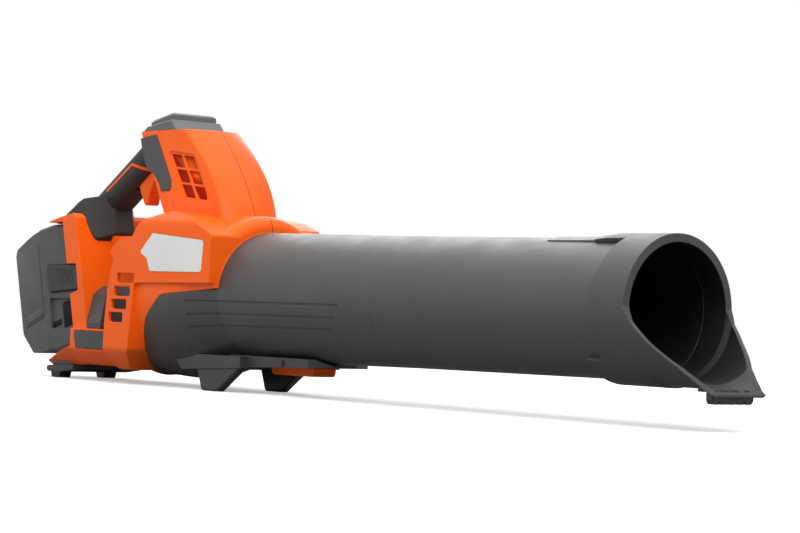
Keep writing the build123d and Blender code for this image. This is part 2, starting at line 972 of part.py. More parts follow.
label_floor = block_half_width - 0.6
tower_pad_floor = tower_half_width - 1.2
side_pad_floor = bridge_half_width - 0.9


def make_label_plate():
    return side_skin(label_corners(0), label_floor + 0.02, block_half_width + 0.3)


def make_tower_pad():
    """Pad on the tower's side that wraps round its rear corner."""
    corners = tower_pad_corners(0)
    skin = side_skin(corners, tower_pad_floor + 0.02, tower_half_width + 0.6)
    wrap = side_skin(corners, tower_half_width - 6, tower_pad_floor + 0.1) - tower_body(-seat_gap)
    return largest(skin + wrap)


def make_side_pad():
    return side_skin(side_pad_corners(0), side_pad_floor + 0.02, bridge_half_width + 0.5)


terminal_low = 31.0          # in the battery's tilted frame, as are the other terminal sizes
terminal_high = 41.0
terminal_half_width = 13.0
terminal_post_y = 5.0


def bay_body():
    bay = side_prism(bay_corners(), bay_half_width)
    wide = bay_half_width
    right_edge = [(-wide, far / 2, 0), (-wide, -52, 6), (16 - wide, -68, 0)]
    return bay & cross_prism(both_edges(right_edge), -far, far)


def make_battery_bay():
    """Receiver that the battery slides into, with its floor, roof and side walls."""
    bay = bay_body() - bay_cavity() - latch_notch()
    gap = seat_gap
    hole = block_between(
        (pack_front, -terminal_half_width - gap, terminal_low - gap),
        (bay_front + 1, terminal_half_width + gap, terminal_high + gap),
    )
    return bay - pack_place * hole


def make_housing():
    outer = block_body(0) + dome_body() + tower_body(0)
    outer += fan_body(0) - block_between((-far, -far, 20), (fan_top_rear_x, far, far))
    bay = bay_body()
    outer += bridge_body(0)
    outer += spine_body(0)
    outer += handle_core(grip_skin)

    casing = rod(duct_bore + shell_wall, -116, 2)
    upper_room = block_body(shell_wall + 0.4) & block_between((-112, -far, 2), (block_front_x - 4, far, far))
    lower_room = fan_body(2 * shroud_wall) & block_between((-112, -far, -far), (-10, far, 2 - shell_wall))
    plenum_wide = block_half_width - 3.4
    plenum_front_x = duct_rear_x - 6.5
    plenum = side_prism(
        [
            (-190, 22, 0),
            (-147, 28, 4),
            (-138, 40, 5),
            (plenum_front_x, 42, 0),
            (plenum_front_x, -44, 0),
            (-137, -57, 0),
            (-152, -57, 6),
            (-154, -33, 0),
            (-190, -33, 0),
        ],
        plenum_wide,
    )
    plenum &= cross_prism(block_section(plenum_wide), -200, 10)
    tower_room = tower_body(shell_wall) - block_between((-far, -far, -far), (far, far, tower_floor))
    handle_room = handle_core(grip_skin + handle_wall) - bay
    housing = outer - rod(duct_bore, duct_rear_x - 1, 10)
    for room in (
        upper_room - casing,
        lower_room - casing,
        plenum,
        tower_room,
        bridge_body(shell_wall + 0.4) - bay,
        handle_room,
    ):
        housing -= room
    for x, z, seat in housing_screw_spots:
        housing += cross_rod(boss_radius, x, z, -seat - boss_root, seat + boss_root)
        housing -= cross_rod(screw_radius + 0.05, x, z, screw_tip_y - 0.5, seat)
        housing -= cross_rod(screw_head_radius + 0.2, x, z, seat, far / 4)
    housing -= rod(bell_radius + seat_gap, plenum_front_x - 1, duct_rear_x)
    housing -= bay
    housing -= bay_cavity()
    housing -= shroud_zone(seat_gap) - fan_body(shroud_wall + seat_gap)
    housing -= trigger_slot()
    housing -= pivot_rod(trigger_pin_radius + 0.05, -pin_half_length, pin_half_length)
    housing -= pivot_rod(spring_radius + seat_gap, 0, spring_high + seat_gap)
    for cut in vent_slots() + grille_windows():
        housing -= cut
    housing -= grille_recess(1.0)
    for corners, low, high in (
        (label_corners(seat_gap), label_floor, block_half_width + 2),
        (tower_pad_corners(seat_gap), tower_pad_floor, tower_half_width + 2),
        (side_pad_corners(seat_gap), side_pad_floor, bridge_half_width + 2),
    ):
        pocket = side_skin(corners, low, high)
        housing -= pocket
        housing -= mirrored(pocket)
    lead_low, lead_high = duct_bore - 14, tower_floor + 3
    for y in motor_lead_spots:
        spot = Pos(motor_lead_x, y, (lead_low + lead_high) / 2)
        housing -= spot * Cylinder(motor_lead_radius + 0.3, lead_high - lead_low)
    return housing


# Handle grips and their inlay strips
inlay_depth = 1.05


def inlay_band(grow):
    corners = [
        (-32 - grow, 4.6 + grow, 0),
        (15, 3.8 + grow, 2),
        (29, -10.2 + grow, 0),
        (28, -13.4 - grow, 0),
        (14, 1.4 - grow, 2),
        (-32 - grow, 2.2 - grow, 0),
    ]
    return handle_place * side_prism(corners, far / 4)


def make_grips():
    skin = handle_bar(0, handle_rear, handle_front) + neck_body(0)
    skin -= handle_core(grip_skin - seat_gap)
    skin -= tower_body(-seat_gap)
    skin -= bay_body()
    skin -= bay_cavity()
    skin -= spine_body(0)
    skin -= trigger_slot()
    groove = handle_bar(-1, handle_rear, handle_front)
    groove -= handle_bar(inlay_depth + 0.05, handle_rear, handle_front)
    skin -= groove & inlay_band(0.15)
    return largest(half(skin, -1)), largest(half(skin, 1))


def make_inlays():
    layer = handle_bar(-0.2, handle_rear, 40) - handle_bar(inlay_depth, handle_rear, 40)
    strip = (layer & inlay_band(0)) - trigger_slot()
    return largest(half(strip, -1)), largest(half(strip, 1))


# Trigger group
def make_trigger():
    body = side_prism(
        [
            (-197, 99, 2),
            (-194, 89.5, 3),
            (-186, 77.5, 2.5),
            (-181, 77.5, 2.5),
            (-178, 89, 4),
            (-171, 100, 5),
            (-165, 109, 3),
            (-165, 124, 3),
            (-176, 125, 3),
            (-186, 112, 3),
        ],
        trigger_half_width,
    )
    body = fillet(body.faces().filter_by(Axis.Y).edges(), 1.5)
    return body - pivot_rod(trigger_pin_radius + shaft_gap, -far / 4, far / 4)


def make_trigger_pin():
    reach = pin_half_length - 0.2
    return pivot_rod(trigger_pin_radius, -reach, reach)


def make_trigger_spring():
    """Wound torsion spring on the pin, beside the trigger, as its outer sleeve."""
    bore = pivot_rod(trigger_pin_radius + 0.1, spring_low - 1, spring_high + 1)
    return pivot_rod(spring_radius, spring_low, spring_high) - bore


def make_trigger_switch():
    room_floor = grip_skin + handle_wall - grip_height / 2
    box = block_between((-23, -5.8, room_floor + 2.5), (-3, 5.8, 3))
    box += block_between((-23, -1.8, room_floor + 0.2), (-3, 1.8, room_floor + 3))
    plunger = block_between((-3, -2.5, -6), (-0.5, 2.5, -2))
    return handle_place * (box + plunger)


lead_radius = 1.3
lead_along = bay_front + 0.2 + lead_radius   # from the bay's wall, in the battery's tilted frame


def make_power_leads():
    leads = []
    start_x, start_z = pack_point(lead_along, terminal_high + 0.5)
    bend_x, bend_z = pack_point(lead_along, 74)
    top_x, top_z = handle_point(46, 6)
    for y in (-terminal_post_y, terminal_post_y):
        route = FilletPolyline(
            (start_x, y, start_z),
            (bend_x, y, bend_z),
            (top_x, y, top_z),
            (controller_rear_x - 0.6, y, 122),
            radius=12,
        )
        section = Plane(origin=route @ 0, z_dir=route % 0) * Circle(lead_radius)
        leads.append(sweep(section, path=route))
    return leads


def make_terminal_block():
    """Insulating block in the bay wall with two blades that point at the pack and two lead posts."""
    front = bay_front - 0.2
    block = block_between(
        (pack_front + 1.0, -terminal_half_width, terminal_low),
        (front, terminal_half_width, terminal_high),
    )
    for side in (-1, 1):
        blade_y = side * contact_y
        block += block_between(
            (contact_rear + 5, blade_y - 1, terminal_low + 2),
            (front, blade_y + 1, terminal_high - 2),
        )
        post_y = side * terminal_post_y
        block += block_between(
            (front - 1, post_y - 1.5, terminal_high - 6),
            (lead_along + lead_radius, post_y + 1.5, terminal_high + 0.3),
        )
    return pack_place * block


controller_rear_x = -130.0


def make_controller():
    wide = tower_half_width - shell_wall - 0.3
    case = block_between((controller_rear_x, -wide, 106), (-92, wide, 129))
    return chamfer(case.edges().filter_by(Axis.Y), 2.0)


def make_heatsink():
    wide = tower_half_width - shell_wall - 0.3
    sink = block_between((-118, -wide, 102.4), (-80, wide, 105.8))
    count = 11
    for n in range(count):
        y = (n - (count - 1) / 2) * (2 * wide - 2) / (count - 1)
        sink += block_between((-118, y - 0.8, 92), (-80, y + 0.8, 103))
    return sink


# Cap with its keypad
cap_face_x = -138.5
cap_face_z = tower_top + 13.2
cap_face_tilt = 10.8
cap_face = Pos(cap_face_x, 0, cap_face_z) * Rot(0, -cap_face_tilt, 0)
cap_top_wall = 3.0
power_button_spot = (-7.0, 0.0)
boost_button_spot = (7.0, 0.0)
power_button_radius = 5.5
boost_button_size = (8.0, 20.0)
button_flange = 1.4
button_drop = 5.2
button_rise = 0.9


def make_top_cap():
    base = tower_top + 0.2
    low_tier = side_prism(
        [
            (cap_rear_x, base, 0),
            (cap_front_x, base, 0),
            (cap_front_x - 9, base + 9.5, 2),
            (-157, base + 4.3, 2),
        ],
        cap_half_width,
    )
    low_tier = chamfer(low_tier.faces().filter_by(Axis.Y).edges().group_by(Axis.Z)[-1], 1.2)
    top_tier = cap_face * block_between((-17, -22.5, -12), (16.5, 22.5, 0))
    top_tier = chamfer(top_tier.faces().sort_by(Axis.Z)[-1].edges(), 2.2)
    cap = low_tier + top_tier & block_between((-far, -far, base), (far, far, far))
    cap -= cap_face * block_between((-14, -19.5, -30), (13.5, 19.5, -cap_top_wall))
    cap -= cap_face * block_between((-13, -16, -0.6), (12.5, 16, 5))
    power_x, power_y = power_button_spot
    cap -= cap_face * Pos(power_x, power_y, 0) * Cylinder(power_button_radius + button_gap, 20)
    boost_x, boost_y = boost_button_spot
    width, length = boost_button_size
    cap -= cap_face * Pos(boost_x, boost_y, 0) * Box(width + 2 * button_gap, length + 2 * button_gap, 20)
    return cap


def make_power_button():
    x, y = power_button_spot
    height = button_rise + button_drop
    stem = Pos(0, 0, button_rise - height / 2) * Cylinder(power_button_radius, height)
    flange_z = -cap_top_wall - 0.3 - button_flange / 2
    stem += Pos(0, 0, flange_z) * Cylinder(power_button_radius + 0.9, button_flange)
    stem = chamfer(stem.faces().sort_by(Axis.Z)[-1].edges(), 0.4)
    return cap_face * Pos(x, y, 0) * stem


def make_boost_button():
    x, y = boost_button_spot
    width, length = boost_button_size
    height = button_rise + button_drop
    stem = Pos(0, 0, button_rise - height / 2) * Box(width, length, height)
    flange_z = -cap_top_wall - 0.3 - button_flange / 2
    stem += Pos(0, 0, flange_z) * Box(width + 1.6, length + 1.6, button_flange)
    stem = chamfer(stem.faces().sort_by(Axis.Z)[-1].edges(), 0.4)
    return cap_face * Pos(x, y, 0) * stem


def make_keypad_board():
    top = -button_drop - button_travel - 0.3
    return cap_face * block_between((-13.7, -19.2, top - 1.6), (13.2, 19.2, top))


# Feet
rail_bottom = -58.5
rail_half_width = 30.0
rail_front_x = 105.0
rail_top = -48.0
saddle_radius = tube_rear_radius + 0.6
release_rear_x = 21.0
release_front_x = 78.0
release_half_width = 11.0
release_flange = 2.0
release_low = -62.5
release_travel = 2.0
release_floor = rail_bottom + 1.7


def make_foot_bracket():
    """Cradle round the shroud with two feet, and the rail under the tube."""
    cradle = side_prism(
        [(-84, rail_top - 1, 3), (14, rail_top - 1, 0), (14, rail_bottom, 0), (-70, rail_bottom - 4, 4)],
        foot_outer_y + 1,
    )
    rail = side_prism(
        [
            (-12, rail_bottom, 0),
            (rail_front_x, rail_bottom + 4, 3),
            (rail_front_x, rail_top, 3),
            (-12, rail_top, 0),
        ],
        rail_half_width,
    )
    wide = rail_half_width
    taper = make_face(
        Polyline(
            (-20, -wide),
            (rail_front_x - 10, -wide),
            (rail_front_x, -wide / 3),
            (rail_front_x, wide / 3),
            (rail_front_x - 10, wide),
            (-20, wide),
            close=True,
        )
    )
    bracket = cradle + (rail & extrude(taper, amount=far / 2, both=True))
    foot = side_prism(
        [(-52, -50, 0), (14, -50, 0), (8, -61, 3), (-20, floor, 3), (-42, floor, 3), (-49, -62, 3)],
        (foot_outer_y - foot_inner_y) / 2,
    )
    foot = chamfer(foot.faces().filter_by(Axis.Y).edges().filter_by(Axis.X), 1.2)
    for side in (-1, 1):
        bracket += Pos(0, side * (foot_inner_y + foot_outer_y) / 2, 0) * foot
    bracket -= fan_body(-seat_gap)
    bracket -= rod(saddle_radius, -30, rail_front_x + 10)
    bracket -= block_between(
        (release_rear_x - slide_gap, -release_half_width - slide_gap, -far),
        (release_front_x + slide_gap, release_half_width + slide_gap, 0),
    )
    reach = release_flange + slide_gap
    bracket -= block_between(
        (release_rear_x - reach, -release_half_width - reach, release_floor),
        (release_front_x + reach, release_half_width + reach, 0),
    )
    for side in (-1, 1):
        bracket -= foot_screw_rod(foot_screw_head + 0.2, side, foot_screw_seat, far / 4)
        bracket -= foot_screw_rod(screw_radius + 0.05, side, foot_screw_tip - 1, foot_screw_seat + 1)
    return bracket


foot_screw_x = 62.0
foot_screw_z = -52.6
foot_screw_head = 2.8
foot_screw_seat = rail_half_width - 1.6
foot_screw_tip = 18.0


def foot_screw_rod(radius, side, inner_y, outer_y):
    low, high = sorted((side * inner_y, side * outer_y))
    return cross_rod(radius, foot_screw_x, foot_screw_z, low, high)


def make_foot_screws():
    screws = []
    for side in (-1, 1):
        head = foot_screw_rod(foot_screw_head, side, foot_screw_seat, rail_half_width)
        shank = foot_screw_rod(screw_radius, side, foot_screw_tip, foot_screw_seat)
        screws.append(head + shank)
    return screws


def make_release_button():
    body = block_between(
        (release_rear_x, -release_half_width, release_low),
        (release_front_x, release_half_width, release_floor + 0.3),
    )
    body = fillet(body.edges().filter_by(Axis.Y).group_by(Axis.Z)[0], 4.0)
    flange = block_between(
        (release_rear_x - release_flange, -release_half_width - release_flange, release_floor + 0.3),
        (release_front_x + release_flange, release_half_width + release_flange, release_floor + 1.5),
    )
    return body + flange


def make_rear_foot():
    """Pad under the battery bay with two feet."""
    pad = side_prism(
        [
            (-246, -66.4, 0),
            (-283, -67.75, 0),
            (-290, -68.2, 0),
            (-292, -70, 0),
            (-290, -73.5, 2),
            (-270, -73.5, 2),
            (-246, -70.5, 0),
        ],
        36,
    )
    foot = side_prism([(-295, -71, 0), (-276, -71, 0), (-280, floor, 2), (-292, floor, 2)], 6)
    for side in (-1, 1):
        pad += Pos(0, side * rear_foot_y, 0) * foot
    return pad


def make_intake_deflector():
    """Rounded fairing on the bay's wall that leads the air into the block."""
    top = 5.0
    low = -33 + seat_gap
    wide = bay_half_width
    profile = side_prism(
        [
            (bay_face_x(low) + seat_gap, low, 0),
            (-186, low, 2),
            (-196, -4, 8),
            (-205, top, 4),
            (bay_face_x(top) + seat_gap, top, 0),
        ],
        wide,
    )
    right_edge = [(-wide, low, 0), (-wide, -28, 2), (10.5 - wide, -2, 8), (22 - wide, top, 6)]
    return profile & cross_prism(both_edges(right_edge), -260, -150)


# Battery pack
def pack_plan(grow):
    wide = pack_half_width + grow
    rear_wide = pack_rear_half_width + grow
    rear = pack_rear - grow - 1
    plan = make_face(
        Polyline(
            (60, -wide),
            (60, wide),
            (pack_split, wide),
            (rear, rear_wide),
            (rear, -rear_wide),
            (pack_split, -wide),
            close=True,
        )
    )
    return pack_place * extrude(plan, amount=far / 2, both=True)


def pack_solid(grow):
    return pack_prism(pack_outline(grow), pack_half_width + grow) & pack_plan(grow)


latch_inner_y = 39.0
latch_outer_y = 44.5
latch_well = latch_inner_y - latch_travel - 0.6
contact_y = 6.0
contact_rear = 3.8           # in the battery's tilted frame
recess_depth = 2.6


def recess_corners(grow):
    """Outline of the sunk field under a latch."""
    return [
        (-281 - grow, -7.5 + grow, 2),
        (-238 + grow, -7 + grow, 2),
        (-232.5 + grow, -34 - grow, 2),
        (-276 - grow, -35 - grow, 2),
    ]


def pack_shell():
    body = pack_solid(0)
    long_edges = [edge for edge in body.edges() if edge.length > 15]
    body = fillet([edge for edge in long_edges if abs(abs(edge.center().Y) - pack_half_width) < 0.5], 4.0)
    shell = body - pack_solid(-pack_wall)
    well = side_pair(latch_corners(slide_gap + 2), latch_well - 2, pack_half_width - 1)
    shell += well & body
    shell -= side_pair(latch_corners(slide_gap), latch_well, far / 4)
    recess_floor = pack_half_width - recess_depth
    shell += side_pair(recess_corners(2), recess_floor - pack_wall, pack_half_width - 1) & body
    shell -= side_pair(recess_corners(0), recess_floor, far / 4)
    for y in (-contact_y, contact_y):
        shell -= pack_place * block_between((14, y - 2, terminal_low + 1), (60, y + 2, terminal_high - 1))
    return shell


def make_battery_case():
    front = block_between((pack_split + seat_gap, -far / 2, -far / 2), (far / 2, far / 2, far / 2))
    return pack_shell() & pack_place * front


def make_battery_cover():
    rear = block_between((-far / 2, -far / 2, -far / 2), (pack_split, far / 2, far / 2))
    return (pack_shell() & pack_place * rear) - charge_button_rod(charge_button_radius + slide_gap, -10, 10)


charge_button_up = 14.0
charge_button_radius = 4.0


def charge_button_rod(radius, rear, front):
    """Round bar through the rear of the pack, between two distances from its rear face."""
    spot = Pos(pack_rear + (rear + front) / 2, 0, charge_button_up)
    return pack_place * spot * Rot(0, 90, 0) * Cylinder(radius, front - rear)


def make_charge_indicator():
    """Raised bezel on the rear of the pack with four light windows and room for the button."""
    plate_body = block_between((pack_rear - 2.2, -9, -10), (pack_rear - 0.05, 9, 24))
    plate_body = fillet(plate_body.edges().filter_by(Axis.X), 2.5)
    for n in range(4):
        plate_body -= block_between((pack_rear - 3, -4, -7 + 4 * n), (pack_rear - 1.2, 4, -5 + 4 * n))
    return pack_place * plate_body - charge_button_rod(charge_button_radius + slide_gap, -10, 10)


def make_charge_button():
    inner = pack_wall + 0.3
    stem = charge_button_rod(charge_button_radius, -2.8, inner + 1)
    return stem + charge_button_rod(charge_button_radius + 1.6, inner, inner + 1.2)


def make_latch():
    """Flat key with ribs across its front part, on the right side."""
    body = side_skin(latch_corners(0), latch_inner_y, latch_outer_y)
    body = fillet(body.faces().sort_by(Axis.Y)[0].edges(), 1.2)
    for n in range(7):
        x = -239.5 - 4.2 * n
        groove = [(x + 1.4, 4.5, 0), (x + 3.2, 4.5, 0), (x - 0.9, 18.5, 0), (x - 2.7, 18.5, 0)]
        body -= side_skin(groove, latch_outer_y - 0.9, latch_outer_y + 1)
    return body


cell_columns = 3
cell_rows = 5
cell_drop = 2.6              # how far the stack sits below the middle of the pack


def cell_spots():
    return [
        (-8 - cell_pitch * column, cell_pitch * (row - (cell_rows - 1) / 2) - cell_drop)
        for column in range(cell_columns)
        for row in range(cell_rows)
    ]


def cell_rod(spot, radius, length):
    x, z = spot
    return pack_place * Pos(x, 0, z) * Rot(90, 0, 0) * Cylinder(radius, length)


def make_cells():
    return [cell_rod(spot, cell_radius, cell_length) for spot in cell_spots()]


def make_cell_holder():
    wide = cell_length / 2 - 0.5
    holder = pack_place * block_between((-58, -wide, -52.0), (3.6, wide, 46.6))
    for spot in cell_spots():
        holder -= cell_rod(spot, cell_radius + seat_gap, cell_length * 2)
    return holder


def make_battery_board():
    return pack_place * block_between((-52, -26, 46.8), (-10, 26, 48.4))


def make_battery_contacts():
    contacts = []
    front = pack_front - pack_wall - 1.5
    for y in (-contact_y, contact_y):
        body = block_between((contact_rear, y - 3, terminal_low), (front, y + 3, terminal_high))
        slot = block_between((contact_rear + 4, y - 1.6, terminal_low + 1), (40, y + 1.6, terminal_high - 1))
        contacts.append(pack_place * (body - slot))
    return contacts


# Every piece by name
def make_pieces():
    housing = make_housing()
    grip_right, grip_left = make_grips()
    inlay_right, inlay_left = make_inlays()
    label = make_label_plate()
    tower_pad = make_tower_pad()
    side_pad = make_side_pad()
    latch = make_latch()
    return {
        "housing_right": largest(half(housing, -1)),
        "housing_left": largest(half(housing, 1)),
        "battery_bay": make_battery_bay(),
        "lower_shroud": make_lower_shroud(),
        "foot_bracket": make_foot_bracket(),
        "foot_screws": make_foot_screws(),
        "rear_foot": make_rear_foot(),
        "top_cap": make_top_cap(),
        "keypad_board": make_keypad_board(),
        "power_button": make_power_button(),
        "boost_button": make_boost_button(),
        "tower_pad_right": tower_pad,
        "tower_pad_left": mirrored(tower_pad),
        "label_plate_right": label,
        "label_plate_left": mirrored(label),
        "side_pad_right": side_pad,
        "side_pad_left": mirrored(side_pad),
        "grip_right": grip_right,
        "grip_left": grip_left,
        "grip_inlay_right": inlay_right,
        "grip_inlay_left": inlay_left,
        "housing_screws": make_housing_screws(),
        "intake_deflector": make_intake_deflector(),
        "fan_duct": make_fan_duct(),
        "tube_seal": make_tube_seal(),
        "stator_vanes": make_stator_vanes(),
        "tail_cone": make_tail_cone(),
        "motor_stator": make_motor_stator(),
        "bearing_rear": make_bearing(rear_bearing_x),
        "bearing_front": make_bearing(front_bearing_x),
        "motor_leads": make_motor_leads(),
        "fan_impeller": make_impeller(),
        "fan_nut": make_fan_nut(),
        "motor_shaft": make_motor_shaft(),
        "rotor_core": make_rotor_core(),
        "controller": make_controller(),
        "heatsink": make_heatsink(),
        "trigger": make_trigger(),
        "trigger_pin": make_trigger_pin(),
        "trigger_spring": make_trigger_spring(),
        "trigger_switch": make_trigger_switch(),
        "power_leads": make_power_leads(),
        "terminal_block": make_terminal_block(),
        "rear_tube": make_rear_tube(),
        "front_tube": make_front_tube(),
        "nozzle": make_nozzle(),
        "nozzle_skid": make_skid(),
        "release_button": make_release_button(),
        "battery_case": make_battery_case(),
        "battery_cover": make_battery_cover(),
        "battery_cells": make_cells(),
        "cell_holder": make_cell_holder(),
        "battery_board": make_battery_board(),
        "battery_contacts": make_battery_contacts(),
        "charge_indicator": make_charge_indicator(),
        "charge_button": make_charge_button(),
        "battery_latch_right": latch,
        "battery_latch_left": mirrored(latch),
    }


def main():
    pieces = {}
    for name, shape in make_pieces().items():
        solids = shape if isinstance(shape, list) else shape.solids()
        pieces[name] = [solid for piece in solids for solid in piece.solids()]
    boxes = [solid.bounding_box() for solids in pieces.values() for solid in solids]
    middle_x = (min(box.min.X for box in boxes) + max(box.max.X for box in boxes)) / 2
    print("middle", middle_x)
    os.makedirs("parts", exist_ok=True)
    for name, solids in pieces.items():
        moved = [Pos(-middle_x, 0, axis_height) * solid for solid in solids]
        export_step(moved[0] if len(moved) == 1 else Compound(moved), f"parts/{name}.step")
        print(name, len(solids), round(sum(solid.volume for solid in solids)))


if __name__ == "__main__":
    main()
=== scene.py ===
import bpy
import bmesh
import json
from math import cos, radians, sin
from mathutils import Matrix, Vector


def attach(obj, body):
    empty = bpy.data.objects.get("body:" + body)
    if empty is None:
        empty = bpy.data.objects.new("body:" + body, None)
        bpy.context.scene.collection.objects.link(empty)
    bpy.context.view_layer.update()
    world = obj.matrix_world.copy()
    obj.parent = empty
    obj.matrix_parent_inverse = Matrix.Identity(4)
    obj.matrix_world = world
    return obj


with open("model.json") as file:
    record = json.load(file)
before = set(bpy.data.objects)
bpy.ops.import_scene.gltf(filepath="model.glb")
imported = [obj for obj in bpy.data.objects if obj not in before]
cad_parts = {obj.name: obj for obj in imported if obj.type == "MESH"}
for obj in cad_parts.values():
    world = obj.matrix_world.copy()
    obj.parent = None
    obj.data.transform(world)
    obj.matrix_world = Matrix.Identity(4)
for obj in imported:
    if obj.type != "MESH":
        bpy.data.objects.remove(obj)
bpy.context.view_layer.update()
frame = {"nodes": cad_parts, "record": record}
cadNodes = frame["nodes"]
print("frame loaded:", len(cadNodes), "nodes")


def placed(place, firstWay, secondWay, thirdWay):  # a place, and where its own X, Y and Z point
    return Matrix.Translation(place) @ Matrix((firstWay, secondWay, thirdWay)).transposed().to_4x4()


# camera, worked out from the tube's rings and the feet
cameraLook = {
    "place": (1.519664, -1.16328, 0.07149),
    "yaw": 50.98,       # degrees from +Y towards -X
    "pitch": -1.07,     # negative looks up
    "roll": 2.19,
    "lens": 108.0,      # mm
    "sensor": 36.0,     # mm across
    "near": 0.05,
    "far": 60.0,
}


def makeCamera(look):
    yaw, pitch, roll = (radians(look[key]) for key in ("yaw", "pitch", "roll"))
    ahead = Vector((-sin(yaw) * cos(pitch), cos(yaw) * cos(pitch), -sin(pitch)))
    levelRight = Vector((cos(yaw), sin(yaw), 0.0))
    levelUp = levelRight.cross(ahead)
    right = levelRight * cos(roll) + levelUp * sin(roll)
    up = right.cross(ahead)
    data = bpy.data.cameras.new("camera")
    data.lens = look["lens"]
    data.sensor_width = look["sensor"]
    data.clip_start = look["near"]
    data.clip_end = look["far"]
    camera = bpy.data.objects.new("camera", data)
    camera.matrix_world = placed(look["place"], right, up, -ahead)
    bpy.context.collection.objects.link(camera)
    bpy.context.scene.camera = camera


makeCamera(cameraLook)
print("camera set")

# studio: pale floor, soft light from above and from the camera's side
studio = {
    "floorSize": 60.0,
    "floorShown": 0.92,
    "floorBounce": 0.35,     # how much of the light the floor gives back to the object
    "floorGlow": 0.40,       # lifts the floor to white for the camera only
    "fadeFrom": 0.7,         # metres from the middle where the floor starts to turn plain white
    "fadeTo": 1.8,
    "ambient": 0.15,
    "lamps": [
        # name, place, aims at, width, length, watts
        ("topLamp", (0.10, -0.25, 1.50), (0.0, 0.0, 0.1), 2.8, 3.4, 50.0),
        ("frontLamp", (1.60, -0.60, 1.40), (-0.20, 0.0, 0.2), 0.9, 0.9, 14.0),
        ("sideLamp", (0.75, -2.20, 1.00), (-0.05, 0.0, 0.1), 1.2, 1.2, 13.0),
        ("rimLamp", (-1.60, 1.10, 1.20), (-0.2, 0.0, 0.1), 1.2, 1.2, 14.0),
    ],
}


def link(tree, fromSocket, toSocket):
    tree.links.new(fromSocket, toSocket)


def mapped(tree, value, low, high, atLow, atHigh):
    node = tree.nodes.new("ShaderNodeMapRange")
    for key, number in (("From Min", low), ("From Max", high), ("To Min", atLow), ("To Max", atHigh)):
        node.inputs[key].default_value = number
    link(tree, value, node.inputs["Value"])
    return node.outputs["Result"]


def makeFloor(look):
    mesh = bpy.data.meshes.new("floor")
    shape = bmesh.new()
    bmesh.ops.create_grid(shape, x_segments=1, y_segments=1, size=look["floorSize"] / 2)
    shape.to_mesh(mesh)
    shape.free()
    floor = bpy.data.objects.new("floor", mesh)
    bpy.context.collection.objects.link(floor)
    material = bpy.data.materials.new("paleFloor")
    material.use_nodes = True
    tree = material.node_tree
    tree.nodes.clear()
    output = tree.nodes.new("ShaderNodeOutputMaterial")
    forCamera = tree.nodes.new("ShaderNodeLightPath").outputs["Is Camera Ray"]
    diffuse = tree.nodes.new("ShaderNodeBsdfDiffuse")
    paint = mapped(tree, forCamera, 0.0, 1.0, look["floorBounce"], look["floorShown"])
    link(tree, paint, diffuse.inputs["Color"])
    glow = tree.nodes.new("ShaderNodeEmission")
    link(tree, mapped(tree, forCamera, 0.0, 1.0, 0.0, look["floorGlow"]), glow.inputs["Strength"])
    lit = tree.nodes.new("ShaderNodeAddShader")
    link(tree, diffuse.outputs[0], lit.inputs[0])
    link(tree, glow.outputs[0], lit.inputs[1])
    place = tree.nodes.new("ShaderNodeTexCoord")
    away = tree.nodes.new("ShaderNodeVectorMath")
    away.operation = "LENGTH"
    link(tree, place.outputs["Object"], away.inputs[0])
    white = tree.nodes.new("ShaderNodeEmission")
    blend = tree.nodes.new("ShaderNodeMixShader")
    fade = mapped(tree, away.outputs["Value"], look["fadeFrom"], look["fadeTo"], 0.0, 1.0)
    link(tree, fade, blend.inputs["Fac"])
    link(tree, lit.outputs[0], blend.inputs[1])
    link(tree, white.outputs[0], blend.inputs[2])
    link(tree, blend.outputs[0], output.inputs["Surface"])
    mesh.materials.append(material)


def makeWorld(look):  # white where it is seen or mirrored, and dim where it lights
    world = bpy.data.worlds.new("studioWorld")
    world.use_nodes = True
    tree = world.node_tree
    tree.nodes.clear()
    output = tree.nodes.new("ShaderNodeOutputWorld")
    shown = tree.nodes.new("ShaderNodeBackground")
    light = tree.nodes.new("ShaderNodeBackground")
    for sky, strength in ((shown, 1.0), (light, look["ambient"])):
        sky.inputs["Color"].default_value = (1.0, 1.0, 1.0, 1.0)
        sky.inputs["Strength"].default_value = strength
    path = tree.nodes.new("ShaderNodeLightPath")
    pick = tree.nodes.new("ShaderNodeMixShader")
    direct = tree.nodes.new("ShaderNodeMath")
    direct.operation = "MAXIMUM"
    seen = tree.nodes.new("ShaderNodeMath")
    seen.operation = "MAXIMUM"
    link(tree, path.outputs["Is Camera Ray"], direct.inputs[0])
    link(tree, path.outputs["Is Glossy Ray"], direct.inputs[1])
    link(tree, direct.outputs[0], seen.inputs[0])
    link(tree, path.outputs["Is Transmission Ray"], seen.inputs[1])
    link(tree, seen.outputs[0], pick.inputs["Fac"])
    link(tree, light.outputs[0], pick.inputs[1])
    link(tree, shown.outputs[0], pick.inputs[2])
    link(tree, pick.outputs[0], output.inputs["Surface"])
    bpy.context.scene.world = world


def makeLamps(look):
    for name, place, aim, width, length, watts in look["lamps"]:
        data = bpy.data.lights.new(name, "AREA")
        data.shape = "RECTANGLE"
        data.size = width
        data.size_y = length
        data.energy = watts
        lamp = bpy.data.objects.new(name, data)
        lamp.location = place
        lamp.rotation_euler = (Vector(aim) - Vector(place)).to_track_quat("-Z", "Y").to_euler()
        bpy.context.collection.objects.link(lamp)


makeFloor(studio)
makeWorld(studio)
makeLamps(studio)
bpy.context.scene.view_settings.view_transform = "Standard"
print("studio set")

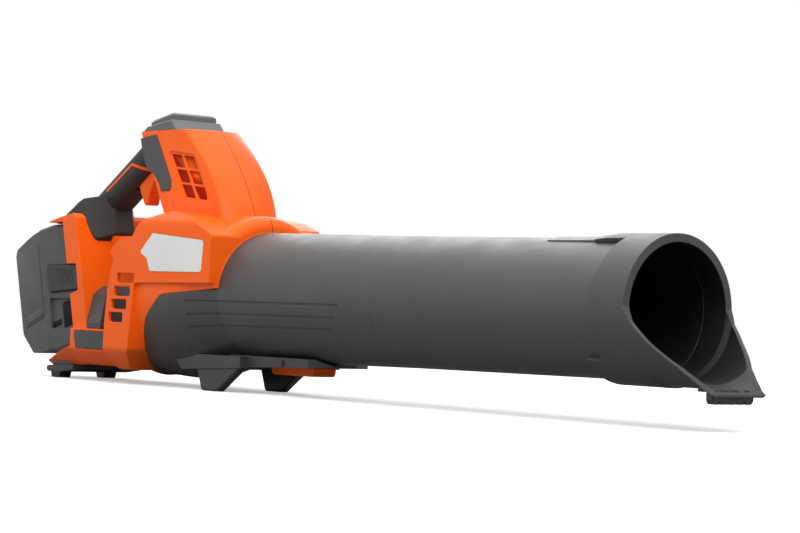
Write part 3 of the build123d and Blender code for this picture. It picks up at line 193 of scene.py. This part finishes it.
# finishes, all read in Object coordinates, with sizes in metres
plainLook = {               # what a finish has unless its own look says otherwise
    "spread": 0.05,         # how far the colour wanders either way
    "cloud": 0.06,          # size of the clouds in the colour
    "cloudDetail": 2.0,
    "glossSize": 0.4,       # as a share of the clouds
    "glossDetail": 4.0,
    "glossSpread": 0.05,
    "rampFrom": 0.3,        # the part of the noise that colour and gloss spread over
    "rampTo": 0.7,
    "cloudRough": 0.55,
    "grainDetail": 2.0,
    "grainRough": 0.6,
    "grainHeight": 0.0002,
    "specular": 0.5,
    "metal": 0.0,
    "edge": 0.0009,         # radius of the rounded edges
    "edgeSamples": 6,
}
# painted shade inside the air ducts: where the axis lies and how squarely a surface must face it to be
# darkened
boreLook = {
    "axisHeight": 0.079,
    "facingFrom": -0.7,     # -1 faces the air axis squarely
    "facingTo": -0.2,
}
seamLook = {
    "softFrom": 0.6,        # as shares of the seam's half width
    "softTo": 1.4,
    "level": 0.3,
}


def noise(tree, coords, size, detail, rough):
    node = tree.nodes.new("ShaderNodeTexNoise")
    node.inputs["Scale"].default_value = 1.0 / size
    node.inputs["Detail"].default_value = detail
    node.inputs["Roughness"].default_value = rough
    link(tree, coords, node.inputs["Vector"])
    return node.outputs["Fac"]


def ramp(tree, value, low, high, lowColour, highColour):
    node = tree.nodes.new("ShaderNodeValToRGB")
    node.color_ramp.elements[0].position = low
    node.color_ramp.elements[1].position = high
    node.color_ramp.elements[0].color = lowColour
    node.color_ramp.elements[1].color = highColour
    link(tree, value, node.inputs["Fac"])
    return node.outputs["Color"]


def shade(colour, factor):
    return tuple(min(1.0, part * factor) for part in colour) + (1.0,)


def grey(level):
    return (level, level, level, 1.0)


def darken(tree, colour, share):
    node = tree.nodes.new("ShaderNodeVectorMath")
    node.operation = "SCALE"
    link(tree, colour, node.inputs[0])
    link(tree, share, node.inputs["Scale"])
    return node.outputs["Vector"]


def vectorStep(tree, operation, first, second=None):
    node = tree.nodes.new("ShaderNodeVectorMath")
    node.operation = operation
    link(tree, first, node.inputs[0])
    if isinstance(second, tuple):
        node.inputs[1].default_value = second
    elif second is not None:
        link(tree, second, node.inputs[1])
    return node


def boreShare(tree, coords, level):  # painted shade: surfaces that face the air axis are darkened, standing in for the shade inside a duct
    fromAxis = vectorStep(tree, "SUBTRACT", coords, (0.0, 0.0, boreLook["axisHeight"]))
    across = vectorStep(tree, "MULTIPLY", fromAxis.outputs[0], (0.0, 1.0, 1.0))
    outward = vectorStep(tree, "NORMALIZE", across.outputs[0])
    facing = tree.nodes.new("ShaderNodeTexCoord").outputs["Normal"]
    agree = vectorStep(tree, "DOT_PRODUCT", outward.outputs[0], facing)
    return mapped(tree, agree.outputs["Value"], boreLook["facingFrom"], boreLook["facingTo"], level, 1.0)


def seamShare(tree, coords, halfWidth):  # parting line where the two housing halves meet
    parts = tree.nodes.new("ShaderNodeSeparateXYZ")
    link(tree, coords, parts.inputs[0])
    away = tree.nodes.new("ShaderNodeMath")
    away.operation = "ABSOLUTE"
    link(tree, parts.outputs["Y"], away.inputs[0])
    softFrom = halfWidth * seamLook["softFrom"]
    softTo = halfWidth * seamLook["softTo"]
    return mapped(tree, away.outputs[0], softFrom, softTo, seamLook["level"], 1.0)


def mouldedFinish(name, ownLook):
    look = dict(plainLook, **ownLook)
    material = bpy.data.materials.new(name)
    material.use_nodes = True
    tree = material.node_tree
    surface = tree.nodes["Principled BSDF"]
    coords = tree.nodes.new("ShaderNodeTexCoord").outputs["Object"]
    low, high = look["rampFrom"], look["rampTo"]
    cloud = noise(tree, coords, look["cloud"], look["cloudDetail"], look["cloudRough"])
    deep = shade(look["colour"], 1.0 - look["spread"])
    pale = shade(look["colour"], 1.0 + look["spread"])
    tint = ramp(tree, cloud, low, high, deep, pale)
    # painted shade: darkens the inside of the air ducts
    if "bore" in look:
        tint = darken(tree, tint, boreShare(tree, coords, look["bore"]))
    if "seam" in look:
        tint = darken(tree, tint, seamShare(tree, coords, look["seam"]))
    link(tree, tint, surface.inputs["Base Color"])
    gloss = noise(tree, coords, look["cloud"] * look["glossSize"], look["glossDetail"], look["cloudRough"])
    smooth = grey(look["rough"] - look["glossSpread"])
    matt = grey(look["rough"] + look["glossSpread"])
    link(tree, ramp(tree, gloss, low, high, smooth, matt), surface.inputs["Roughness"])
    surface.inputs["Specular IOR Level"].default_value = look["specular"]
    surface.inputs["Metallic"].default_value = look["metal"]
    grain = noise(tree, coords, look["grain"], look["grainDetail"], look["grainRough"])
    edge = tree.nodes.new("ShaderNodeBevel")
    edge.samples = look["edgeSamples"]
    edge.inputs["Radius"].default_value = look["edge"]
    bump = tree.nodes.new("ShaderNodeBump")
    bump.inputs["Strength"].default_value = look["grainDepth"]
    bump.inputs["Distance"].default_value = look["grainHeight"]
    link(tree, grain, bump.inputs["Height"])
    link(tree, edge.outputs[0], bump.inputs["Normal"])
    link(tree, bump.outputs[0], surface.inputs["Normal"])
    return material


# one look for each material slot; the bore shade level is how bright the painted shade leaves the inside of
# an air duct
finishLooks = {
    "orange_shell": {
        "colour": (0.92, 0.120, 0.004), "rough": 0.38, "grain": 0.0009, "grainDepth": 0.12,
        "spread": 0.03, "specular": 0.2, "edge": 0.0014,
    },
    "dark_shell": {
        "colour": (0.048, 0.048, 0.048), "rough": 0.50, "grain": 0.0007, "grainDepth": 0.25,
        "specular": 0.4, "bore": 0.12,
    },
    "tube_plastic": {
        "colour": (0.052, 0.052, 0.052), "rough": 0.47, "grain": 0.0007, "grainDepth": 0.2,
        "specular": 0.45, "bore": 0.12,
    },
    "soft_grip": {
        "colour": (0.024, 0.024, 0.024), "rough": 0.62, "grain": 0.0008, "grainDepth": 0.4,
        "specular": 0.35,
    },
    "cap_plastic": {"colour": (0.085, 0.085, 0.087), "rough": 0.42, "grain": 0.0007, "grainDepth": 0.15},
    "button_plastic": {"colour": (0.035, 0.035, 0.036), "rough": 0.45, "grain": 0.0007, "grainDepth": 0.15},
    "label_foil": {
        "colour": (0.72, 0.725, 0.71), "rough": 0.32, "grain": 0.0006, "grainDepth": 0.06,
        "spread": 0.03,
    },
    "battery_shell": {
        "colour": (0.060, 0.060, 0.060), "rough": 0.52, "grain": 0.0008, "grainDepth": 0.35,
        "specular": 0.4,
    },
    "latch_plastic": {
        "colour": (0.018, 0.018, 0.018), "rough": 0.45, "grain": 0.0007, "grainDepth": 0.2,
        "specular": 0.35,
    },
    "fan_plastic": {"colour": (0.03, 0.03, 0.031), "rough": 0.5, "grain": 0.001, "grainDepth": 0.2},
    # near black; the recess plates on the battery borrow this finish as painted shade
    "seal_rubber": {
        "colour": (0.006, 0.006, 0.006), "rough": 0.7, "grain": 0.001, "grainDepth": 0.2,
        "specular": 0.15,
    },
    "steel": {
        "colour": (0.45, 0.45, 0.46), "rough": 0.35, "grain": 0.0004, "grainDepth": 0.1,
        "metal": 1.0,
    },
    "black_steel": {
        "colour": (0.03, 0.03, 0.031), "rough": 0.4, "grain": 0.0004, "grainDepth": 0.1,
        "metal": 1.0,
    },
    "winding_core": {
        "colour": (0.42, 0.20, 0.09), "rough": 0.4, "grain": 0.0006, "grainDepth": 0.3,
        "metal": 0.8,
    },
    "sink_metal": {
        "colour": (0.05, 0.05, 0.052), "rough": 0.45, "grain": 0.0005, "grainDepth": 0.1,
        "metal": 1.0,
    },
    "circuit_board": {"colour": (0.02, 0.12, 0.05), "rough": 0.4, "grain": 0.001, "grainDepth": 0.1},
    "lead_sleeve": {"colour": (0.35, 0.015, 0.015), "rough": 0.5, "grain": 0.001, "grainDepth": 0.1},
    "cell_can": {"colour": (0.10, 0.16, 0.28), "rough": 0.35, "grain": 0.001, "grainDepth": 0.05},
}
finishes = {slot: mouldedFinish(slot + "Finish", look) for slot, look in finishLooks.items()}
housingLook = dict(finishLooks["orange_shell"], seam=0.00035)
housingFinish = mouldedFinish("housingFinish", housingLook)
nodeSlots = {part["node"]: part["material_slot"] for part in frame["record"]["subparts"]}
for nodeName, node in cadNodes.items():
    node.data.materials.clear()
    isHousing = nodeName.startswith("housing_") and nodeName != "housing_screws"
    node.data.materials.append(housingFinish if isHousing else finishes[nodeSlots[nodeName]])
print("finishes set:", len(finishes))

# mouldings, made of flat plates whose sizes are in millimetres
perMetre = 1000.0
plateSteps = {"corner": 6, "edge": 3}


def soften(plate, geom, radius, steps, affect):
    bmesh.ops.bevel(
        plate, geom=geom, offset=radius, segments=steps, profile=0.5, affect=affect, material=-1)


def roundedPlate(shape, look, spot):  # adds a plate with round corners and a soft rim to the shape
    width, height, corner, thick, edge = (
        look[key] / perMetre for key in ("width", "height", "corner", "thick", "edge"))
    plate = bmesh.new()
    bmesh.ops.create_grid(plate, x_segments=1, y_segments=1, size=0.5)
    bmesh.ops.scale(plate, vec=(width, height, 1.0), verts=plate.verts)
    soften(plate, plate.verts[:], corner, plateSteps["corner"], "VERTICES")
    raised = bmesh.ops.extrude_face_region(plate, geom=plate.faces[:])["geom"]
    top = [part for part in raised if isinstance(part, bmesh.types.BMVert)]
    bmesh.ops.translate(plate, vec=(0.0, 0.0, thick), verts=top)
    rim = [part for part in raised if isinstance(part, bmesh.types.BMEdge)]
    soften(plate, rim, edge, plateSteps["edge"], "EDGES")
    bmesh.ops.recalc_face_normals(plate, faces=plate.faces)
    plate.transform(spot)
    mesh = bpy.data.meshes.new("plate")
    plate.to_mesh(mesh)
    plate.free()
    shape.from_mesh(mesh)
    bpy.data.meshes.remove(mesh)


def finishPiece(name, shape, body, slotName):
    bmesh.ops.recalc_face_normals(shape, faces=shape.faces)
    mesh = bpy.data.meshes.new(name)
    shape.to_mesh(mesh)
    shape.free()
    mesh.shade_smooth()
    piece = bpy.data.objects.new(name, mesh)
    bpy.context.collection.objects.link(piece)
    mesh.materials.append(finishes[slotName])
    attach(piece, body)


# the battery's tilted frame: along runs towards its bay and up towards the handle
packFrame = {"place": (-0.331868, 0.0, 0.090), "tilt": 15.0}
packTurn = radians(packFrame["tilt"])
packAlong = Vector((cos(packTurn), 0.0, sin(packTurn)))
packUp = Vector((-sin(packTurn), 0.0, cos(packTurn)))


def packSpot(side, along, up, out, slant):  # the place and turn of a plate on one side of the pack
    sideWay = Vector((0.0, side, 0.0))
    ahead = (packAlong + sideWay * slant).normalized()
    outWay = ahead.cross(packUp) if side < 0 else packUp.cross(ahead)
    place = Vector(packFrame["place"]) + (packAlong * along + packUp * up + sideWay * out) / perMetre
    return placed(place, ahead, packUp, outWay)


def makePackPlates(name, look, slotName):  # the same plates on both sides of the pack
    shape = bmesh.new()
    for side in (-1, 1):
        for plate in look["plates"]:
            out = look["flank"] + (plate["along"] - look["flankFrom"]) * look["slant"] - look["sunk"]
            spot = packSpot(side, plate["along"], plate["up"], out, look["slant"])
            roundedPlate(shape, plate, spot)
    finishPiece(name, shape, "battery", slotName)


# raised panel and the bare badge on it, on the pack's tapering rear
batteryPanel = {
    "flank": 42.0,           # half the pack's width where the taper starts
    "flankFrom": -45.0,
    "slant": 8.0 / 57.0,
    "sunk": 0.05,
    "plates": [
        {
            "along": -72.5, "up": 11.5, "width": 47.0, "height": 71.0,
            "corner": 5.0, "thick": 0.7, "edge": 0.35,
        },
        {
            "along": -68.0, "up": -18.5, "width": 34.0, "height": 7.0,
            "corner": 3.2, "thick": 1.3, "edge": 0.3,
        },
    ],
}
makePackPlates("batteryPanel", batteryPanel, "battery_shell")

# painted shade: near-black plates on the floor of the recess below the latch, standing in for the shade
# deep in the recess and in its slot
recessShadePlates = {
    "flank": 39.4,
    "flankFrom": 0.0,
    "slant": 0.0,
    "sunk": 0.05,
    "plates": [
        {
            "along": -8.0, "up": -29.5, "width": 24.0, "height": 23.0,
            "corner": 1.5, "thick": 0.4, "edge": 0.1,
        },
        {
            "along": -32.5, "up": -34.0, "width": 17.0, "height": 5.0,
            "corner": 1.0, "thick": 0.4, "edge": 0.1,
        },
    ],
}
makePackPlates("recessShadePlates", recessShadePlates, "seal_rubber")

lipSeal = {
    "along": -7.5, "up": 52.95, "rise": -0.227,
    "width": 20.0, "height": 80.0, "corner": 3.0, "thick": 1.1, "edge": 0.2,
}


def makeLipSeal(look):  # dust seal between the bay's lip and the top of the pack
    ahead = (packAlong + packUp * look["rise"]).normalized()
    across = Vector((0.0, 1.0, 0.0))
    place = Vector(packFrame["place"]) + (packAlong * look["along"] + packUp * look["up"]) / perMetre
    shape = bmesh.new()
    roundedPlate(shape, look, placed(place, ahead, across, ahead.cross(across)))
    finishPiece("lipSeal", shape, "housing", "seal_rubber")


makeLipSeal(lipSeal)

footSkirt = {
    "place": (-0.352, 0.0, 0.0098),
    "width": 36.0, "height": 71.0, "corner": 6.0, "thick": 6.2, "edge": 1.5,
}


def makeFootSkirt(look):  # soft collar that closes the rear foot's pad against the bay
    shape = bmesh.new()
    roundedPlate(shape, look, Matrix.Translation(look["place"]))
    finishPiece("footSkirt", shape, "housing", "dark_shell")


makeFootSkirt(footSkirt)

grilleScreen = {
    "place": (-0.167618, 0.02635, 0.179), "lean": 0.66, "fall": 0.1,
    "width": 40.0, "height": 40.0, "corner": 2.0, "thick": 0.18, "edge": 0.04,
}


def makeGrilleScreen(look):  # thin screen behind the windows in the tower's sides
    shape = bmesh.new()
    x, y, z = look["place"]
    ahead = Vector((1.0, 0.0, -look["fall"]))
    upWay = Vector((-look["lean"], 0.0, 1.0))
    for side in (-1, 1):
        roundedPlate(shape, look, placed((x, side * y, z), ahead, upWay, Vector((0.0, -side, 0.0))))
    finishPiece("grilleScreen", shape, "housing", "orange_shell")


makeGrilleScreen(grilleScreen)
print("mouldings made")
